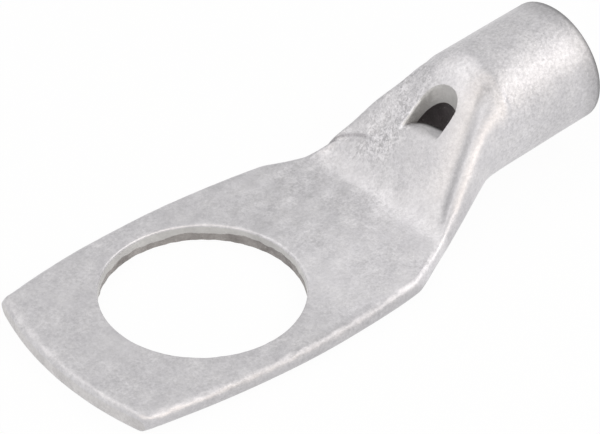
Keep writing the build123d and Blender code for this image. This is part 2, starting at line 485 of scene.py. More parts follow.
        zero = np.zeros_like(x)
        inner, outer = (mix(pressed_handle, third / 3, turned)
                        for pressed_handle, third in zip(self.crown_handles, (1, 2)))
        curves = [
            curve_handles((zero, top), (crease * inner, top),
                          (crease * outer, top - crown * mix(self.crown_drop, 1 / 3, turned)), (crease, crease_z)),
            curve_handles((crease, crease_z), (crease + handle * np.cos(lift), crease_z + handle * np.sin(lift)),
                          (reach, side + (crease_z - side) * fullness), (reach, side)),
            curve_handles((reach, side), (reach, side - down),
                          (belly + pull * np.cos(tilt), bottom + sag + pull * np.sin(tilt)), (belly, bottom + sag)),
            curve_handles((belly, bottom + sag), (2 * belly / 3, bottom + sag / 3), (belly / 3, bottom),
                          (zero, bottom)),
        ]
        return self.soften(x, self.join_curves(curves))

    def soften(self, x: FloatArray, half: FloatArray) -> FloatArray:
        """Rounds the crease on the ramp: over and over, each point near the crease moves towards the middle of
        its two neighbours, by a share that falls off as a bell curve away from the crease.

        Args:
            x: Places along the lug.
            half: Half sections there.

        Returns:
            The rounded half sections.
        """
        sizes = self.sizes
        near = bell(np.arange(half.shape[1]) - self.CROWN_STEPS, self.soft_points)
        along = band(x, sizes.neck_x, sizes.neck_x + self.soft_start, sizes.barrel_x - self.soft_end, sizes.barrel_x)
        weight = (near[None, :] * along[:, None])[:, 1:-1, None] / 2
        for _ in range(self.soft_rounds):
            middle = (half[:, 2:] + half[:, :-2]) / 2
            half[:, 1:-1] += weight * (middle - half[:, 1:-1])
        return half

    def cavity_half(self, x: FloatArray) -> FloatArray:
        """Half sections of the space inside the pressed tube, a wall's thickness within it: a flat roof and
        floor with rounded sides, which turn into the round bore.

        Args:
            x: Places along the lug.

        Returns:
            Points of shape (places, points, 2).
        """
        sizes = self.sizes
        bore = sizes.bore_radius
        ramp_wall = sizes.tube_wall / math.cos(math.radians(sizes.ramp_angle))
        closing = (sizes.barrel_x - x) / (sizes.barrel_x - sizes.slit_x)
        rounded = (1 - closing) ** 2
        top = self.top_height(x) - mix(sizes.tube_wall, ramp_wall, smooth_step(closing, 0.0, self.thin_share))
        bottom = self.bottom_height(x) + sizes.tube_wall
        middle = (top + bottom) / 2
        reach = self.half_width(x) - sizes.tube_wall
        bore_flat = bore * math.sin(self.CAVITY_ANGLE)
        flat = bore_flat + (reach - (top - bottom) / 2 - bore_flat) * closing
        sag = (bore - math.sqrt(bore**2 - bore_flat**2)) * rounded
        tilt = self.CAVITY_ANGLE * rounded
        pull = (reach - flat) * self.QUARTER
        out, up = flat + pull * np.cos(tilt), pull * np.sin(tilt)
        down = (top - sag - middle) * self.QUARTER
        zero = np.zeros_like(x)
        curves = [
            curve_handles((zero, top), (flat / 3, top), (2 * flat / 3, top - sag / 3), (flat, top - sag)),
            curve_handles((flat, top - sag), (out, top - sag - up), (reach, middle + down), (reach, middle)),
            curve_handles((reach, middle), (reach, middle - down), (out, bottom + sag + up), (flat, bottom + sag)),
            curve_handles((flat, bottom + sag), (2 * flat / 3, bottom + sag / 3), (flat / 3, bottom),
                          (zero, bottom)),
        ]
        return self.join_curves(curves)

    def join_curves(self, curves: list[FloatArray]) -> FloatArray:
        """Evaluates a section's four curves and joins them without repeating their shared ends."""
        steps = (self.CROWN_STEPS, self.EAR_STEPS, self.EAR_STEPS, self.CROWN_STEPS)
        parts = [bezier(handles, count)[:, :-1] for handles, count in zip(curves, steps)]
        return np.concatenate([*parts, curves[-1][:, -1:]], axis=1)

    def front_sag(self, y: FloatArray) -> FloatArray:
        """Distance by which the front's shallow arc falls back at a distance to one side."""
        radius = self.sizes.front_radius
        return radius - np.sqrt(radius**2 - y**2)

    def palm_rows(self, form: PressedSide) -> FloatArray:
        """Rows from the sheared front to the neck. The first rows follow the rolled front edge, a quarter of
        an ellipse that is wider on the far side and uneven, and bend with the front's arc; the bend fades out
        before the bolt hole.

        Args:
            form: How the press left this side.

        Returns:
            Half rows of shape (rows, points, 3).
        """
        sizes = self.sizes
        turn = np.linspace(0.0, math.pi / 2, self.ROLL_ROWS)
        roll = self.front_roll * (1 - np.cos(turn))
        rest = np.linspace(self.front_roll, sizes.front_reach + sizes.neck_x, self.PALM_ROWS)[1:-1]
        run = np.concatenate([roll, rest])
        drop = np.concatenate([self.front_drop * (1 - np.sin(turn)), np.zeros_like(rest)])
        close = 1 - np.clip(run / self.front_burr, 0.0, 1.0)
        burr = self.front_burr * (1 - np.sqrt(1 - close**2))
        x = run - sizes.front_reach
        bend = 1 - smooth_step(run, 0.0, self.front_run)
        reach = self.half_width(x)
        for _ in range(self.BEND_ROUNDS):
            reach = self.half_width(x + self.front_sag(reach) * bend)
        half = self.outer_half(form, x, reach, self.top_height(x) - drop, burr)
        fold = form.fold * band(x - sizes.neck_x, *self.edge_fold)
        steps = np.abs(np.arange(half.shape[1]) - self.CROWN_STEPS)
        half[..., 1] -= fold[:, None] * np.clip(1 - steps / self.edge_fold_points, 0.0, 1.0)
        across = half[..., 0] * form.sign
        spots = across[..., None] * np.array([1.0, 0.0, 0.0])
        wider = self.front_skew * across + sum(wave.at(spots) for wave in self.front_waves)
        held = np.minimum(run, self.front_roll) * (1 - smooth_step(run, self.front_roll, self.front_hold))
        along = x[:, None] + self.front_sag(half[..., 0]) * bend[:, None] + held[:, None] * wider
        return self.place(half, along)

    def ramp_rows(self, form: PressedSide) -> FloatArray:
        """Upright rows from the neck, up the pressed ramp, to where the barrel is round."""
        x = np.linspace(self.sizes.neck_x, self.sizes.barrel_x, self.RAMP_ROWS)[:-1]
        half = self.outer_half(form, x, self.half_width(x), self.top_height(x), self.bottom_height(x))
        return self.place(half, x[:, None])

    def barrel_angles(self) -> FloatArray:
        """Angles above the side, round half of the barrel, of the points in the first round section."""
        sizes = self.sizes
        x = np.array([sizes.barrel_x])
        middle = self.axis_height(x)
        width = np.full_like(x, sizes.tube_radius)
        half = self.outer_half(self.near_side, x, width, middle + sizes.rise, self.bottom_height(x))[0]
        return np.arctan2((half[:, 1] - middle) * sizes.tube_radius / sizes.rise, half[:, 0])

    def round_rows(self, x: FloatArray, radius: FloatArray, square: FloatArray) -> FloatArray:
        """Rows round the tilted axis: a point lies at its radius from the axis, and the row leans from upright
        to square with the axis.

        Args:
            x: Places along the lug where each row meets the axis.
            radius: Radius of each row.
            square: Share by which each row is square to the axis, and not upright.

        Returns:
            Half rows of shape (rows, points, 3).
        """
        angle = self.barrel_angles()
        tilt = math.radians(self.sizes.tilt)
        out = radius[:, None] * np.cos(angle)
        up = radius[:, None] * np.sin(angle)
        slide = up * math.tan(tilt) * (1 - square[:, None])
        along = x[:, None] - up * math.sin(tilt) + slide * math.cos(tilt)
        height = self.axis_height(x)[:, None] + up * math.cos(tilt) + slide * math.sin(tilt)
        return np.stack([along, out, height], axis=-1)

    def barrel_rows(self) -> FloatArray:
        """Rows along the barrel, round the lip of its mouth and back down the bore."""
        sizes = self.sizes
        lip = self.mouth_round
        outside = np.linspace(sizes.barrel_x, sizes.mouth_x - lip, self.BARREL_ROWS)
        turn = np.linspace(0.0, math.pi / 2, self.LIP_ROWS)[1:]
        lip_x = sizes.mouth_x - lip + lip * np.sin(turn)
        lip_out = sizes.tube_radius - lip + lip * np.cos(turn)
        lip_in = sizes.bore_radius + lip - lip * np.cos(turn[::-1])
        inside = np.linspace(sizes.mouth_x - lip, sizes.barrel_x, self.BORE_ROWS)
        x = np.concatenate([outside, lip_x, lip_x[::-1], inside])
        radius = np.concatenate([
            np.full_like(outside, sizes.tube_radius), lip_out, lip_in, np.full_like(inside, sizes.bore_radius)])
        return self.round_rows(x, radius, smooth_step(x, sizes.barrel_x, sizes.mouth_x - self.mouth_square))

    def cavity_rows(self) -> FloatArray:
        """Upright rows from the bore down to the slit under the ramp's foot."""
        x = np.linspace(self.sizes.barrel_x, self.sizes.slit_x, self.CAVITY_ROWS)[1:]
        return self.place(self.cavity_half(x), x[:, None])

    @staticmethod
    def place(half: FloatArray, x: FloatArray) -> FloatArray:
        """Joins sections' sideways distances and heights with their places along the lug."""
        return np.stack(np.broadcast_arrays(x, half[..., 0], half[..., 1]), axis=-1)

    def side_rows(self, form: PressedSide) -> FloatArray:
        """All rows of one side, from the front along the outside and back down the inside."""
        rows = [self.palm_rows(form), self.ramp_rows(form), self.barrel_rows(), self.cavity_rows()]
        return np.concatenate(rows, axis=0) * np.array([1.0, form.sign, 1.0])

    def fill(self, row: FloatArray, rows: int) -> FloatArray:
        """Strip that closes a row's end: straight lines from its upper points down to its lower ones.

        Args:
            row: A whole row, from the middle of the top round and back.
            rows: Number of steps down.

        Returns:
            Points of shape (rows + 1, points across, 3).
        """
        half = self.CROWN_STEPS + self.EAR_STEPS
        count = row.shape[0]
        upper = row[np.arange(-half, half + 1) % count]
        lower = row[np.arange(count // 2 + half, count // 2 - half - 1, -1) % count]
        return mix(upper[None], lower[None], np.linspace(0.0, 1.0, rows + 1)[:, None, None])

    def far_shoulder(self, points: FloatArray) -> FloatArray:
        """Moves that flatten the far shoulder below the ramp's head: full in its middle, and fading along the
        lug, towards its middle plane and down its side."""
        x, y, z = np.moveaxis(points, -1, 0)
        along = band(x - self.sizes.head_x, *self.shoulder_run)
        up = smooth_step(z / self.sizes.tube_radius, *self.shoulder_height)
        return (along * smooth_step(y, *self.shoulder_side) * up)[..., None] * np.array(self.shoulder_sink)

    def far_fold(self, points: FloatArray) -> FloatArray:
        """Moves along the ramp's normal for the fold where the far ear leaves the ramp: a bell-shaped groove
        along a bowed line from the neck's edge inwards, with a lip above it that dies out up the ramp.

        Args:
            points: Places on the tube.

        Returns:
            Moves, one for each point.
        """
        x, y, z = np.moveaxis(points, -1, 0)
        run = x - self.sizes.neck_x
        peak_run, peak_side = self.fold_peak
        past = run - peak_run + self.fold_bow * (y - peak_side) ** 2
        groove = -self.fold_depth * bell(past, self.fold_width)
        lip = self.fold_lip * smooth_step(past, *self.fold_rise) * np.exp(-np.clip(past, 0.0, None) / self.fold_fade)
        reach = smooth_step(y, *self.fold_side) * smooth_step(z - self.top_height(x), *self.fold_height)
        height = (groove + lip) * reach * smooth_step(run, *self.fold_start)
        angle = math.radians(self.sizes.ramp_angle)
        return height[..., None] * np.array([-math.sin(angle), 0.0, math.cos(angle)])

    def dents(self, points: FloatArray) -> FloatArray:
        """Heights of the small dents along the palm's side edges, mostly on the near side, and along the rolled
        front, one for each point."""
        x, y, z = np.moveaxis(points, -1, 0)
        sizes = self.sizes
        edge = np.abs(y) - self.half_width(x) + self.edge_inset
        on_edge = smooth_step(edge, 0.0, self.edge_dent_reach) * (1 - smooth_step(x, sizes.neck_x, sizes.foot_x))
        on_edge = on_edge * smooth_step(z, *self.edge_dent_height) * np.where(y < 0.0, 1.0, self.edge_dents_far)
        bowed = np.clip(np.abs(y), 0.0, sizes.palm_width / 2)
        on_front = band(x + sizes.front_reach - self.front_sag(bowed), *self.front_dent_run)
        return on_edge * self.edge_dents.at(points) + on_front * self.front_dents.at(points)

    def skin(self) -> Skin:
        """Works out the whole surface, uneven by a few hundredths of a millimetre, with small dents along the
        palm's edges, and the far side's fold and flattened shoulder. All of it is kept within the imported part's
        box."""
        far = self.side_rows(self.far_side)
        near = self.side_rows(self.near_side)
        tube = np.concatenate([far, near[:, -2:0:-1]], axis=1)
        outside = tube.shape[0] - self.BORE_ROWS - (self.CAVITY_ROWS - 1)
        fold = self.far_fold(tube[:outside])
        uneven = np.stack([wave.at(tube) for wave in self.waviness], axis=-1)
        uneven[..., 2] += self.dents(tube)
        tube = tube + uneven
        tube[:outside] += fold + self.far_shoulder(tube[:outside])
        low, high = self.sizes.box
        tube = np.clip(tube, low + self.BOX_MARGIN, high - self.BOX_MARGIN)
        return Skin(tube=tube, front=self.fill(tube[0], self.FRONT_STEPS), slit=self.fill(tube[-1], self.SLIT_STEPS),
                    outside_rows=outside)


class Finish(Enum):
    """Surfaces of the lug, in the order of its material slots."""

    SKIN = 0
    SHEARED = 1
    TORN = 2
    CUT = 3
    INSIDE = 4


@dataclass
class BoltHole:
    """Tool that punches the bolt hole: a turned spool, whose wall leaves the rolled rim, the smooth sheared
    band and the torn band of the hole. Lengths are in millimetres, angles in degrees."""

    RIM_POINTS = 9
    WALL_POINTS = 29
    TURNS = 288

    sizes: LugSizes
    lead: tuple[Span, Span] = ((0.16, 0.4), (0.12, 0.02))
    rim_width: float = 0.24
    rim_depth: float = 0.2
    rim_start: float = 14.0
    rim_margin: float = 0.01
    rim_waves: tuple[Ripple, ...] = (Ripple(0.35, 2.2, 9, 14), Ripple(0.2, 0.9, 9, 15))
    wall_end: float = -0.02
    foot: float = -0.4
    torn_depth: float = 0.62
    torn_lean: float = 0.2
    torn_side: float = 25.0
    torn_edge: Span = (-0.05, 0.12)
    torn_step: float = 0.05
    torn_waves: tuple[Ripple, ...] = (Ripple(0.14, 5.0, 9, 11), Ripple(0.1, 1.2, 9, 12))
    torn_ridges: Ripple = Ripple(0.7, 0.7, 12, 13)

    @property
    def rim_foot(self) -> float:
        """Height at which the rolled rim turns into the wall."""
        return self.sizes.palm_thickness - self.rim_depth

    def profile(self) -> FloatArray:
        """Radius and height down the spool, of shape (points, 2): a quarter ellipse for the rim, then the wall."""
        top, radius = self.sizes.palm_thickness, self.sizes.hole_radius
        turn = np.linspace(math.radians(self.rim_start), math.pi / 2, self.RIM_POINTS)
        rim_z = top - self.rim_depth * (1 - np.cos(turn))
        rim = np.stack([radius + self.rim_width * (1 - np.sin(turn)), rim_z], axis=1)
        lead = np.array(self.lead) + np.array([rim[0, 0], top])
        wall_z = np.append(np.linspace(self.rim_foot, self.wall_end, self.WALL_POINTS)[1:], self.foot)
        return np.concatenate([lead, rim, np.stack([np.full_like(wall_z, radius), wall_z], axis=1)], axis=0)

    def angles(self) -> FloatArray:
        """Angles round the hole, evenly spaced."""
        return np.linspace(0.0, 2.0 * math.pi, self.TURNS, endpoint=False)

    def places(self) -> FloatArray:
        """Places round the hole's edge, for its unevenness."""
        angle = self.angles()
        return np.stack([np.cos(angle), np.sin(angle), np.zeros_like(angle)], axis=-1) * self.sizes.hole_radius

    def torn_line(self) -> FloatArray:
        """Height round the hole below which the wall is torn: highest on the far side, with a ragged edge."""
        far = np.cos(self.angles() - math.radians(self.torn_side))
        return self.torn_depth + self.torn_lean * far + sum(wave.at(self.places()) for wave in self.torn_waves)

    def finishes(self) -> FloatArray:
        """Finish of each face of the spool: the skin over the rim, then the sheared and the torn wall."""
        height = self.profile()[:-1, 1][:, None]
        wall = np.where(height > self.torn_line()[None, :], Finish.CUT.value, Finish.TORN.value)
        return np.where(height > self.rim_foot + self.rim_margin, Finish.SKIN.value, wall)

    def surface(self) -> FloatArray:
        """Turns the profile about the hole's axis. Below an uneven line the wall is torn, and lies a few
        hundredths of a millimetre back with upright ridges.

        Returns:
            Points of shape (points, turns, 3).
        """
        angle, places = self.angles(), self.places()
        radius, height = np.repeat(self.profile().T[..., None], self.TURNS, axis=2)
        torn = smooth_step(self.torn_line()[None, :] - height, *self.torn_edge) * (height < self.rim_foot)
        rolled = (radius - self.sizes.hole_radius) * sum(wave.at(places) for wave in self.rim_waves)
        radius = radius + torn * self.torn_step * (1.0 + self.torn_ridges.at(places)) + rolled
        return np.stack([radius * np.cos(angle), radius * np.sin(angle), height], axis=-1)


@dataclass
class InspectionWindow:
    """Tool that cuts the inspection window: upright walls on a round-ended plan, which lean out at the ramp's
    surface, over a floor that leaves a tongue bent in at the foot. The painted shade on the tongue and the
    painted highlight on the far edge are here too, since they follow the window's own places. Lengths are in
    millimetres."""

    LEAD_PLACES = 7
    TONGUE_PLACES = 50
    END_PLACES = 46
    END_TURN = math.radians(88.5)
    ACROSS = 36
    UPRIGHT = 14
    RIM_STEPS = 5

    sizes: LugSizes
    tube: PressedTube
    width: float = 3.7
    start: float = 3.8
    length: float = 3.72
    lead: float = 0.5
    lead_slope: float = 0.4
    end_run: float = 1.8
    end_power: float = 2.25
    tongue: float = 2.0
    lip: float = 1.2
    lip_skew: float = -0.45
    lip_radius: float = 0.9
    lip_spread: float = -0.2
    lip_end: float = 0.98
    fall_slope: float = 14.0
    fall_depth: float = 3.0
    arch: float = 0.6
    arch_start: float = 0.35
    skew: float = -0.1
    skew_start: float = 0.9
    rim_depth: float = 0.3
    rim_top: float = 1.5
    rim_lean: float = 0.12
    rim_end_share: float = 0.9
    rim_gap: float = 0.01
    head_room: float = 2.5
    # Painted shade on the tongue as it bends in:
    painted_shade_bend: Span = (0.04, 0.25)
    painted_shade_lead: Span = (-1.1, -0.4)
    painted_shade_lead_share: float = 0.8
    painted_shade_width: float = 0.97
    painted_shade_depth: float = 2.2
    painted_shade_end: float = 1.2
    painted_shade_tongue: float = 0.5
    painted_shade_tongue_run: Span = (0.05, 0.9)
    painted_shade_lip: Span = (-0.45, 0.5)
    painted_shade_lip_skew: float = 0.25
    # Painted highlight along the window's far edge:
    painted_highlight_edge: Span = (1.05, 0.07)
    painted_highlight_depth: float = 0.2
    painted_highlight_run: Span = (0.1, 2.2)

    @property
    def foot_x(self) -> float:
        """Place along the lug where the tongue leaves the ramp."""
        return self.sizes.foot_x + self.start

    def ramp_height(self, x: float) -> float:
        """Height of the ramp at one place along the lug."""
        return float(self.tube.top_height(np.array([x]))[0])

    def places(self) -> FloatArray:
        """Places along the window, close together at the lip and at the round end."""
        end_x = self.foot_x + self.length - self.end_run
        lead = np.linspace(self.foot_x - self.lead, self.foot_x, self.LEAD_PLACES)[:-1]
        tongue = np.linspace(self.foot_x, end_x, self.TONGUE_PLACES)[:-1]
        turn = np.linspace(0.0, self.END_TURN, self.END_PLACES)
        return np.concatenate([lead, tongue, end_x + self.end_run * np.sin(turn)])

    def floor_height(self, x: FloatArray, across: FloatArray) -> FloatArray:
        """Height of the tool's floor. The tongue leaves the ramp at its slope, which eases evenly to level, and
        arches down towards the far wall. Then it rolls over a lip, as an arc, and falls inside.

        Args:
            x: Places along the lug.
            across: Distances to one side as shares of the half width, from -1 on the near side to 1.

        Returns:
            Heights, in the shape of x with across.
        """
        run = x - self.foot_x
        slope = self.sizes.ramp_slope
        eased = np.clip(run, 0.0, self.tongue)
        rise = slope * (eased - eased**2 / (2 * self.tongue))
        line = np.where(run < 0.0, run * (slope - self.lead_slope), rise)
        arch = self.arch * (across > 0.0) * np.clip(run - self.arch_start, 0.0, None) * across**2
        radius = self.lip_radius * (1 - self.lip_spread * across)
        past = np.clip(run - self.lip - self.lip_skew * across, 0.0, None) / radius
        round_off = radius * (1 - np.sqrt(np.clip(1 - past**2, 0.0, 1.0)))
        fall = np.clip(past - self.lip_end, 0.0, None) * radius * self.fall_slope
        return self.ramp_height(self.foot_x) + line - arch - np.minimum(round_off + fall, self.fall_depth)

    def surface(self) -> FloatArray:
        """Boxes the floor in: at each place a loop from the floor up past the ramp, as wide as the window is
        there, and wider by the square of the height within the leaning rim. The whole leans to the near side.

        Returns:
            Points of shape (places, points round, 3).
        """
        place = self.places()[:, None]
        head_x = self.foot_x + self.length
        past = np.clip((place - head_x) / self.end_run + 1.0, 0.0, 1.0)
        half = self.width / 2 * (1 - past**self.end_power) ** (1 / self.end_power)
        across = np.linspace(-1.0, 1.0, self.ACROSS + 1)[None, :-1]
        ramp = self.tube.top_height(place)
        rim = np.linspace(0.0, self.rim_top, self.RIM_STEPS + 1)[None, :]
        up = np.linspace(0.0, 1.0, self.UPRIGHT + 1)[None, :-1]
        walls = []
        for side in (1.0, -1.0):
            foot = self.floor_height(place, np.full_like(place, side))
            rim_z = np.maximum(ramp + (rim - 1.0) * self.rim_depth, foot + self.rim_gap * (1 + rim))
            walls.append(np.concatenate([foot + (rim_z[:, :1] - foot) * up, rim_z], axis=1))
        lean = np.concatenate([np.zeros_like(up), rim**2], axis=1) * self.rim_lean
        wall_y = half + lean * np.sqrt(1 - self.rim_end_share * past**2)
        floor_y = half * across
        floor_z = self.floor_height(place, np.broadcast_to(across, floor_y.shape))
        roof_y = -wall_y[:, -1:] * across
        roof_z = np.full_like(roof_y, self.ramp_height(head_x) + self.head_room)
        y = np.concatenate([floor_y, wall_y, roof_y, -wall_y[:, ::-1]], axis=1)
        y = y + self.skew * (place - self.foot_x - self.skew_start)
        z = np.concatenate([floor_z, walls[0], roof_z, walls[1][:, ::-1]], axis=1)
        return np.stack([np.broadcast_to(place, y.shape), y, z], axis=-1)

    def finishes(self) -> FloatArray:
        """Finish of each column of the tool's faces: the skin on the tongue, and sheared walls."""
        columns = np.arange(self.surface().shape[1])
        return np.where(columns < self.ACROSS, Finish.SKIN.value, Finish.CUT.value)[None, :]

    def locate(self, points: FloatArray) -> tuple[FloatArray, FloatArray, FloatArray]:
        """Finds points in the window's own terms.

        Args:
            points: Places in millimetres.

        Returns:
            Runs past the tongue's foot, distances to one side as shares of the half width, and depths under the
            ramp.
        """
        x, y, z = points.T
        run = x - self.foot_x
        across = 2 * (y - self.skew * (run - self.skew_start)) / self.width
        return run, across, self.tube.top_height(x) - z

    def painted_tongue_shade(self, points: FloatArray) -> FloatArray:
        """Share, from 0 to 1, of painted shade at each point: the tongue is painted darker as it bends into the
        window, most over its lip, where shade falls."""
        run, across, depth = self.locate(points)
        past = run - self.lip - self.lip_skew * across
        lead = self.painted_shade_lead_share * smooth_step(past, *self.painted_shade_lead)
        bent = np.maximum(smooth_step(depth, *self.painted_shade_bend), lead)
        inside = bent * (np.abs(across) < self.painted_shade_width) * (depth < self.painted_shade_depth) * (past < self.painted_shade_end)
        tongue = self.painted_shade_tongue * smooth_step(run, *self.painted_shade_tongue_run)
        start, end = self.painted_shade_lip
        return np.maximum(tongue, smooth_step(past, start + self.painted_shade_lip_skew * across, end)) * inside

    def painted_rim_highlight(self, points: FloatArray) -> FloatArray:
        """Where a highlight is painted along the window's far edge: 1, and 0 elsewhere."""
        run, across, depth = self.locate(points)
        middle, half = self.painted_highlight_edge
        start, end = self.painted_highlight_run
        near_edge = (np.abs(across - middle) < half) * (np.abs(depth) < self.painted_highlight_depth)
        return near_edge * (run > start) * (run < end)


def grid_faces(rows: int, columns: int, start: int, wrap: bool) -> FloatArray:
    """Quads between neighbouring rows and columns of a grid of points.

    Args:
        rows: Number of rows of points.
        columns: Number of points in a row.
        start: Number of the grid's first point.
        wrap: Whether the last point of a row joins the first.

    Returns:
        Point numbers of shape (faces, 4).
    """
    row = np.arange(rows - 1)[:, None] * columns
    column = np.arange(columns if wrap else columns - 1)[None, :]
    following = (column + 1) % columns
    corners = (row + column, row + following, row + columns + following, row + columns + column)
    return start + np.stack(np.broadcast_arrays(*corners), axis=-1).reshape(-1, 4)


@dataclass
class Patch:
    """A grid of points in millimetres, whether its rows close round, and the finish of its faces, by rows,
    by columns or by both."""

    points: FloatArray
    wrap: bool
    finishes: FloatArray


def mesh_from_patches(name: str, patches: list[Patch], materials: list[bpy.types.Material],
                      capped: bool = False) -> bpy.types.Mesh:
    """Makes one closed mesh, in metres, from patches whose borders meet.

    Args:
        name: Name of the mesh.
        patches: The patches.
        materials: Materials in the order of the finishes.
        capped: Whether the first and last rows of a single round patch are closed with a face each.

    Returns:
        The mesh, with its seams merged and its faces outwards.
    """
    points = np.concatenate([patch.points.reshape(-1, 3) for patch in patches], axis=0) * MM
    faces = []
    finishes = []
    start = 0
    for patch in patches:
        rows, columns = patch.points.shape[:2]
        quads = grid_faces(rows, columns, start, patch.wrap)
        faces.extend(quads.tolist())
        finishes.append(np.broadcast_to(patch.finishes, (rows - 1, len(quads) // (rows - 1))).ravel())
        start += rows * columns
    if capped:
        columns = patches[0].points.shape[1]
        faces.append(list(range(columns)))
        faces.append(list(range(start - columns, start))[::-1])
        finishes.append(np.array([Finish.CUT.value] * 2))
    mesh = bpy.data.meshes.new(name)
    mesh.from_pydata(points.tolist(), [], faces)
    for material in materials:
        mesh.materials.append(material)
    mesh.polygons.foreach_set("material_index", np.concatenate(finishes).astype(np.int32))
    work = bmesh.new()
    work.from_mesh(mesh)
    bmesh.ops.remove_doubles(work, verts=work.verts, dist=0.0005 * MM)
    bmesh.ops.recalc_face_normals(work, faces=work.faces)
    work.to_mesh(mesh)
    work.free()
    return mesh


def add_object(name: str, data: bpy.types.ID) -> bpy.types.Object:
    """Links a mesh, a lamp or a camera into the scene as an object at the origin."""
    thing = bpy.data.objects.new(name, data)
    bpy.context.scene.collection.objects.link(thing)
    return thing


def stand(name: str, data: bpy.types.ID, place: Vector, up: Vector, back: Vector) -> bpy.types.Object:
    """Stands a lamp or a camera at a place in metres, with its top and its back pointing the given ways."""
    thing = add_object(name, data)
    axes = Matrix((up.cross(back), up, back)).transposed()
    thing.matrix_world = Matrix.Translation(place) @ axes.to_4x4()
    return thing


@dataclass
class Shader:
    """A node tree with short ways to add nodes and join them."""

    tree: bpy.types.NodeTree

    @classmethod
    def fresh(cls, owner: bpy.types.ID) -> "Shader":
        """Empties the node tree of a material or a world, and keeps it."""
        owner.use_nodes = True
        owner.node_tree.nodes.clear()
        return cls(owner.node_tree)

    def add(self, kind: str, settings: dict | None = None, **sockets: object) -> bpy.types.Node:
        """Adds a node, sets its options and fills its inputs.

        Args:
            kind: Node type.
            settings: Options of the node, by name.
            **sockets: Inputs by name, with underscores for spaces, each a value or an output to join.

        Returns:
            The node.
        """
        node = self.tree.nodes.new(kind)
        for key, value in (settings or {}).items():
            setattr(node, key, value)
        for key, value in sockets.items():
            self.fill(node.inputs[key.replace("_", " ")], value)
        return node

    def fill(self, socket: bpy.types.NodeSocket, value: object) -> None:
        """Joins an output to an input, or sets the input's value."""
        if isinstance(value, bpy.types.NodeSocket):
            self.tree.links.new(value, socket)
        else:
            socket.default_value = value

    def math(self, operation: str, first: object, second: object = 0.0, clamp: bool = False) -> bpy.types.NodeSocket:
        """Adds a math node and returns its output."""
        node = self.add("ShaderNodeMath", {"operation": operation, "use_clamp": clamp})
        self.fill(node.inputs[0], first)
        self.fill(node.inputs[1], second)
        return node.outputs[0]

    def swing(self, value: object, amount: object) -> bpy.types.NodeSocket:
        """Takes a value from 0 to 1 as a swing about its middle, times an amount."""
        return self.math("MULTIPLY", self.math("SUBTRACT", value, 0.5), amount)

    def remap(self, value: object, low: float, high: float, start: float, end: float) -> bpy.types.NodeSocket:
        """Adds a clamped map from one range to another and returns its output."""
        node = self.add("ShaderNodeMapRange", {"clamp": True}, Value=value, From_Min=low, From_Max=high,
                        To_Min=start, To_Max=end)
        return node.outputs[0]

    def scale(self, colour: object, level: object) -> bpy.types.NodeSocket:
        """Adds a node that makes a colour lighter or darker and returns its output."""
        node = self.add("ShaderNodeVectorMath", {"operation": "SCALE"}, Scale=level)
        self.fill(node.inputs[0], colour)
        return node.outputs[0]

    def blend(self, share: object, first: object, second: object) -> bpy.types.NodeSocket:
        """Adds a colour mix and returns its output."""
        node = self.add("ShaderNodeMix", {"data_type": "RGBA", "clamp_factor": True})
        self.fill(node.inputs[0], share)
        self.fill(node.inputs[6], first)
        self.fill(node.inputs[7], second)
        return node.outputs[2]


@dataclass(frozen=True)
class TinFinish:
    """A tinned surface: colours, roughness and its spread, how metallic it is, and how strongly its grain and
    its scratches show."""

    name: str
    pale: tuple[float, float, float, float]
    dull: tuple[float, float, float, float]
    roughness: float
    spread: float
    metallic: float
    grain: float
    scratch: float


FINISHES = {
    Finish.SKIN: TinFinish("tin_skin", (0.65, 0.637, 0.648, 1), (0.57, 0.558, 0.574, 1), 0.41, 0.08, 1.0, 1.3, 1.0),
    Finish.SHEARED: TinFinish(
        "tin_sheared", (0.66, 0.645, 0.645, 1), (0.53, 0.515, 0.515, 1), 0.46, 0.12, 0.8, 1.2, 0.4),
    Finish.TORN: TinFinish("tin_torn", (0.46, 0.44, 0.43, 1), (0.24, 0.222, 0.215, 1), 0.62, 0.12, 0.6, 1.6, 0.0),
    Finish.CUT: TinFinish("tin_cut", (0.60, 0.595, 0.59, 1), (0.50, 0.495, 0.49, 1), 0.58, 0.1, 0.35, 0.5, 0.0),
    Finish.INSIDE: TinFinish("tin_inside", (0.34, 0.31, 0.32, 1), (0.22, 0.2, 0.206, 1), 0.62, 0.1, 0.8, 0.5, 0.0),
}


def open_group(name: str, *outputs: str) -> tuple[Shader, bpy.types.NodeSocket, bpy.types.Node]:
    """Starts a node group that takes a place and puts out values of the given names.

    Returns:
        The group's shader, the place, and the node that the values go into.
    """
    tree = bpy.data.node_groups.new(name, "ShaderNodeTree")
    tree.interface.new_socket("Place", in_out="INPUT", socket_type="NodeSocketVector")
    for output in outputs:
        tree.interface.new_socket(output, in_out="OUTPUT", socket_type="NodeSocketFloat")
    shader = Shader(tree)
    return shader, shader.add("NodeGroupInput").outputs["Place"], shader.add("NodeGroupOutput")


